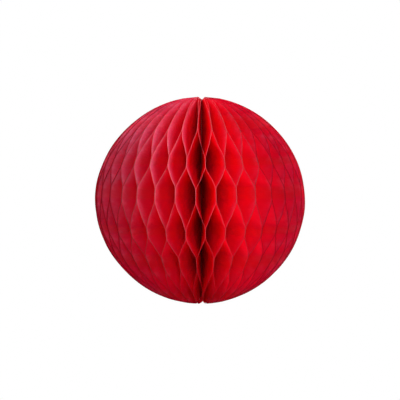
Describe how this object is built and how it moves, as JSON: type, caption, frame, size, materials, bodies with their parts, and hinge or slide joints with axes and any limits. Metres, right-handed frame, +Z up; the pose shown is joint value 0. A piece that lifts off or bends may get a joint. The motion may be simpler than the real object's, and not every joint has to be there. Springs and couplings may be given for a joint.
{
  "type": "paper honeycomb ball",
  "caption": "Round tissue-paper honeycomb ball of half-disc leaves glued in alternate rows, fanned out between two card covers; it folds to a flat half-disc pad.",
  "frame": {"origin": "centre of the opened ball, on the spine", "axes": "+Z up along the spine, +Y towards the seam where the two covers meet, -Y towards the middle leaf pair"},
  "size_m": [0.1268, 0.1266, 0.127],
  "materials": {
    "tissue": "thin dyed tissue paper, matte, slightly translucent",
    "card": "solid card, matte, red on the back",
    "thread": "twisted cotton thread, dark red",
    "tape": "double-sided tape squares"
  },
  "bodies": {
    "spine": {"leaf_pair_18": "tissue", "spine_thread": "thread", "top_knot": "thread", "bottom_knot": "thread"},
    "cover_a": {"cover_a": "card", "end_leaf_a": "tissue", "tape_squares": "tape"},
    "cover_b": {"cover_b": "card", "end_leaf_b": "tissue"},
    "leaf_pair_01": {"leaf_pair_01": "tissue"},
    "leaf_pair_02": {"leaf_pair_02": "tissue"},
    "leaf_pair_03": {"leaf_pair_03": "tissue"},
    "leaf_pair_04": {"leaf_pair_04": "tissue"},
    "leaf_pair_05": {"leaf_pair_05": "tissue"},
    "leaf_pair_06": {"leaf_pair_06": "tissue"},
    "leaf_pair_07": {"leaf_pair_07": "tissue"},
    "leaf_pair_08": {"leaf_pair_08": "tissue"},
    "leaf_pair_09": {"leaf_pair_09": "tissue"},
    "leaf_pair_10": {"leaf_pair_10": "tissue"},
    "leaf_pair_11": {"leaf_pair_11": "tissue"},
    "leaf_pair_12": {"leaf_pair_12": "tissue"},
    "leaf_pair_13": {"leaf_pair_13": "tissue"},
    "leaf_pair_14": {"leaf_pair_14": "tissue"},
    "leaf_pair_15": {"leaf_pair_15": "tissue"},
    "leaf_pair_16": {"leaf_pair_16": "tissue"},
    "leaf_pair_17": {"leaf_pair_17": "tissue"},
    "leaf_pair_19": {"leaf_pair_19": "tissue"},
    "leaf_pair_20": {"leaf_pair_20": "tissue"},
    "leaf_pair_21": {"leaf_pair_21": "tissue"},
    "leaf_pair_22": {"leaf_pair_22": "tissue"},
    "leaf_pair_23": {"leaf_pair_23": "tissue"},
    "leaf_pair_24": {"leaf_pair_24": "tissue"},
    "leaf_pair_25": {"leaf_pair_25": "tissue"},
    "leaf_pair_26": {"leaf_pair_26": "tissue"},
    "leaf_pair_27": {"leaf_pair_27": "tissue"},
    "leaf_pair_28": {"leaf_pair_28": "tissue"},
    "leaf_pair_29": {"leaf_pair_29": "tissue"},
    "leaf_pair_30": {"leaf_pair_30": "tissue"},
    "leaf_pair_31": {"leaf_pair_31": "tissue"},
    "leaf_pair_32": {"leaf_pair_32": "tissue"},
    "leaf_pair_33": {"leaf_pair_33": "tissue"},
    "leaf_pair_34": {"leaf_pair_34": "tissue"},
    "leaf_pair_35": {"leaf_pair_35": "tissue"}
  },
  "joints": [
    {"name": "fold_cover_a", "type": "hinge", "parent": "spine", "child": "cover_a", "pos_m": [-0.00165, -0.00002, 0], "axis": [0, 0, 1], "range_deg": [0, 180]},
    {"name": "fold_cover_b", "type": "hinge", "parent": "spine", "child": "cover_b", "pos_m": [0.00165, -0.00002, 0], "axis": [0, 0, 1], "range_deg": [-180, 0]},
    {"name": "fold_pair_01", "type": "hinge", "parent": "spine", "child": "leaf_pair_01", "pos_m": [-0.00159, -0.00013, 0], "axis": [0, 0, 1], "range_deg": [0, 174.86]},
    {"name": "fold_pair_02", "type": "hinge", "parent": "spine", "child": "leaf_pair_02", "pos_m": [-0.00149, -0.00025, 0], "axis": [0, 0, 1], "range_deg": [0, 164.57]},
    {"name": "fold_pair_03", "type": "hinge", "parent": "spine", "child": "leaf_pair_03", "pos_m": [-0.0014, -0.00036, 0], "axis": [0, 0, 1], "range_deg": [0, 154.29]},
    {"name": "fold_pair_04", "type": "hinge", "parent": "spine", "child": "leaf_pair_04", "pos_m": [-0.0013, -0.00046, 0], "axis": [0, 0, 1], "range_deg": [0, 144]},
    {"name": "fold_pair_05", "type": "hinge", "parent": "spine", "child": "leaf_pair_05", "pos_m": [-0.00121, -0.00055, 0], "axis": [0, 0, 1], "range_deg": [0, 133.71]},
    {"name": "fold_pair_06", "type": "hinge", "parent": "spine", "child": "leaf_pair_06", "pos_m": [-0.00111, -0.00063, 0], "axis": [0, 0, 1], "range_deg": [0, 123.43]},
    {"name": "fold_pair_07", "type": "hinge", "parent": "spine", "child": "leaf_pair_07", "pos_m": [-0.00102, -0.00071, 0], "axis": [0, 0, 1], "range_deg": [0, 113.14]},
    {"name": "fold_pair_08", "type": "hinge", "parent": "spine", "child": "leaf_pair_08", "pos_m": [-0.00093, -0.00077, 0], "axis": [0, 0, 1], "range_deg": [0, 102.86]},
    {"name": "fold_pair_09", "type": "hinge", "parent": "spine", "child": "leaf_pair_09", "pos_m": [-0.00083, -0.00083, 0], "axis": [0, 0, 1], "range_deg": [0, 92.57]},
    {"name": "fold_pair_10", "type": "hinge", "parent": "spine", "child": "leaf_pair_10", "pos_m": [-0.00074, -0.00087, 0], "axis": [0, 0, 1], "range_deg": [0, 82.29]},
    {"name": "fold_pair_11", "type": "hinge", "parent": "spine", "child": "leaf_pair_11", "pos_m": [-0.00065, -0.00092, 0], "axis": [0, 0, 1], "range_deg": [0, 72]},
    {"name": "fold_pair_12", "type": "hinge", "parent": "spine", "child": "leaf_pair_12", "pos_m": [-0.00055, -0.00095, 0], "axis": [0, 0, 1], "range_deg": [0, 61.71]},
    {"name": "fold_pair_13", "type": "hinge", "parent": "spine", "child": "leaf_pair_13", "pos_m": [-0.00046, -0.00098, 0], "axis": [0, 0, 1], "range_deg": [0, 51.43]},
    {"name": "fold_pair_14", "type": "hinge", "parent": "spine", "child": "leaf_pair_14", "pos_m": [-0.00037, -0.00101, 0], "axis": [0, 0, 1], "range_deg": [0, 41.14]},
    {"name": "fold_pair_15", "type": "hinge", "parent": "spine", "child": "leaf_pair_15", "pos_m": [-0.00028, -0.00103, 0], "axis": [0, 0, 1], "range_deg": [0, 30.86]},
    {"name": "fold_pair_16", "type": "hinge", "parent": "spine", "child": "leaf_pair_16", "pos_m": [-0.00018, -0.00104, 0], "axis": [0, 0, 1], "range_deg": [0, 20.57]},
    {"name": "fold_pair_17", "type": "hinge", "parent": "spine", "child": "leaf_pair_17", "pos_m": [-0.00009, -0.00105, 0], "axis": [0, 0, 1], "range_deg": [0, 10.29]},
    {"name": "fold_pair_19", "type": "hinge", "parent": "spine", "child": "leaf_pair_19", "pos_m": [0.00009, -0.00105, 0], "axis": [0, 0, 1], "range_deg": [-10.29, 0]},
    {"name": "fold_pair_20", "type": "hinge", "parent": "spine", "child": "leaf_pair_20", "pos_m": [0.00018, -0.00104, 0], "axis": [0, 0, 1], "range_deg": [-20.57, 0]},
    {"name": "fold_pair_21", "type": "hinge", "parent": "spine", "child": "leaf_pair_21", "pos_m": [0.00028, -0.00103, 0], "axis": [0, 0, 1], "range_deg": [-30.86, 0]},
    {"name": "fold_pair_22", "type": "hinge", "parent": "spine", "child": "leaf_pair_22", "pos_m": [0.00037, -0.00101, 0], "axis": [0, 0, 1], "range_deg": [-41.14, 0]},
    {"name": "fold_pair_23", "type": "hinge", "parent": "spine", "child": "leaf_pair_23", "pos_m": [0.00046, -0.00098, 0], "axis": [0, 0, 1], "range_deg": [-51.43, 0]},
    {"name": "fold_pair_24", "type": "hinge", "parent": "spine", "child": "leaf_pair_24", "pos_m": [0.00055, -0.00095, 0], "axis": [0, 0, 1], "range_deg": [-61.71, 0]},
    {"name": "fold_pair_25", "type": "hinge", "parent": "spine", "child": "leaf_pair_25", "pos_m": [0.00065, -0.00092, 0], "axis": [0, 0, 1], "range_deg": [-72, 0]},
    {"name": "fold_pair_26", "type": "hinge", "parent": "spine", "child": "leaf_pair_26", "pos_m": [0.00074, -0.00087, 0], "axis": [0, 0, 1], "range_deg": [-82.29, 0]},
    {"name": "fold_pair_27", "type": "hinge", "parent": "spine", "child": "leaf_pair_27", "pos_m": [0.00083, -0.00083, 0], "axis": [0, 0, 1], "range_deg": [-92.57, 0]},
    {"name": "fold_pair_28", "type": "hinge", "parent": "spine", "child": "leaf_pair_28", "pos_m": [0.00093, -0.00077, 0], "axis": [0, 0, 1], "range_deg": [-102.86, 0]},
    {"name": "fold_pair_29", "type": "hinge", "parent": "spine", "child": "leaf_pair_29", "pos_m": [0.00102, -0.00071, 0], "axis": [0, 0, 1], "range_deg": [-113.14, 0]},
    {"name": "fold_pair_30", "type": "hinge", "parent": "spine", "child": "leaf_pair_30", "pos_m": [0.00111, -0.00063, 0], "axis": [0, 0, 1], "range_deg": [-123.43, 0]},
    {"name": "fold_pair_31", "type": "hinge", "parent": "spine", "child": "leaf_pair_31", "pos_m": [0.00121, -0.00055, 0], "axis": [0, 0, 1], "range_deg": [-133.71, 0]},
    {"name": "fold_pair_32", "type": "hinge", "parent": "spine", "child": "leaf_pair_32", "pos_m": [0.0013, -0.00046, 0], "axis": [0, 0, 1], "range_deg": [-144, 0]},
    {"name": "fold_pair_33", "type": "hinge", "parent": "spine", "child": "leaf_pair_33", "pos_m": [0.0014, -0.00036, 0], "axis": [0, 0, 1], "range_deg": [-154.29, 0]},
    {"name": "fold_pair_34", "type": "hinge", "parent": "spine", "child": "leaf_pair_34", "pos_m": [0.00149, -0.00025, 0], "axis": [0, 0, 1], "range_deg": [-164.57, 0]},
    {"name": "fold_pair_35", "type": "hinge", "parent": "spine", "child": "leaf_pair_35", "pos_m": [0.00159, -0.00013, 0], "axis": [0, 0, 1], "range_deg": [-174.86, 0]}
  ],
  "couplings": [
    {"joint": "fold_cover_b", "follows": "fold_cover_a", "ratio": -1},
    {"joint": "fold_pair_01", "follows": "fold_cover_a", "ratio": 0.97143},
    {"joint": "fold_pair_02", "follows": "fold_cover_a", "ratio": 0.91429},
    {"joint": "fold_pair_03", "follows": "fold_cover_a", "ratio": 0.85714},
    {"joint": "fold_pair_04", "follows": "fold_cover_a", "ratio": 0.8},
    {"joint": "fold_pair_05", "follows": "fold_cover_a", "ratio": 0.74286},
    {"joint": "fold_pair_06", "follows": "fold_cover_a", "ratio": 0.68571},
    {"joint": "fold_pair_07", "follows": "fold_cover_a", "ratio": 0.62857},
    {"joint": "fold_pair_08", "follows": "fold_cover_a", "ratio": 0.57143},
    {"joint": "fold_pair_09", "follows": "fold_cover_a", "ratio": 0.51429},
    {"joint": "fold_pair_10", "follows": "fold_cover_a", "ratio": 0.45714},
    {"joint": "fold_pair_11", "follows": "fold_cover_a", "ratio": 0.4},
    {"joint": "fold_pair_12", "follows": "fold_cover_a", "ratio": 0.34286},
    {"joint": "fold_pair_13", "follows": "fold_cover_a", "ratio": 0.28571},
    {"joint": "fold_pair_14", "follows": "fold_cover_a", "ratio": 0.22857},
    {"joint": "fold_pair_15", "follows": "fold_cover_a", "ratio": 0.17143},
    {"joint": "fold_pair_16", "follows": "fold_cover_a", "ratio": 0.11429},
    {"joint": "fold_pair_17", "follows": "fold_cover_a", "ratio": 0.057143},
    {"joint": "fold_pair_19", "follows": "fold_cover_a", "ratio": -0.057143},
    {"joint": "fold_pair_20", "follows": "fold_cover_a", "ratio": -0.11429},
    {"joint": "fold_pair_21", "follows": "fold_cover_a", "ratio": -0.17143},
    {"joint": "fold_pair_22", "follows": "fold_cover_a", "ratio": -0.22857},
    {"joint": "fold_pair_23", "follows": "fold_cover_a", "ratio": -0.28571},
    {"joint": "fold_pair_24", "follows": "fold_cover_a", "ratio": -0.34286},
    {"joint": "fold_pair_25", "follows": "fold_cover_a", "ratio": -0.4},
    {"joint": "fold_pair_26", "follows": "fold_cover_a", "ratio": -0.45714},
    {"joint": "fold_pair_27", "follows": "fold_cover_a", "ratio": -0.51429},
    {"joint": "fold_pair_28", "follows": "fold_cover_a", "ratio": -0.57143},
    {"joint": "fold_pair_29", "follows": "fold_cover_a", "ratio": -0.62857},
    {"joint": "fold_pair_30", "follows": "fold_cover_a", "ratio": -0.68571},
    {"joint": "fold_pair_31", "follows": "fold_cover_a", "ratio": -0.74286},
    {"joint": "fold_pair_32", "follows": "fold_cover_a", "ratio": -0.8},
    {"joint": "fold_pair_33", "follows": "fold_cover_a", "ratio": -0.85714},
    {"joint": "fold_pair_34", "follows": "fold_cover_a", "ratio": -0.91429},
    {"joint": "fold_pair_35", "follows": "fold_cover_a", "ratio": -0.97143}
  ]
}
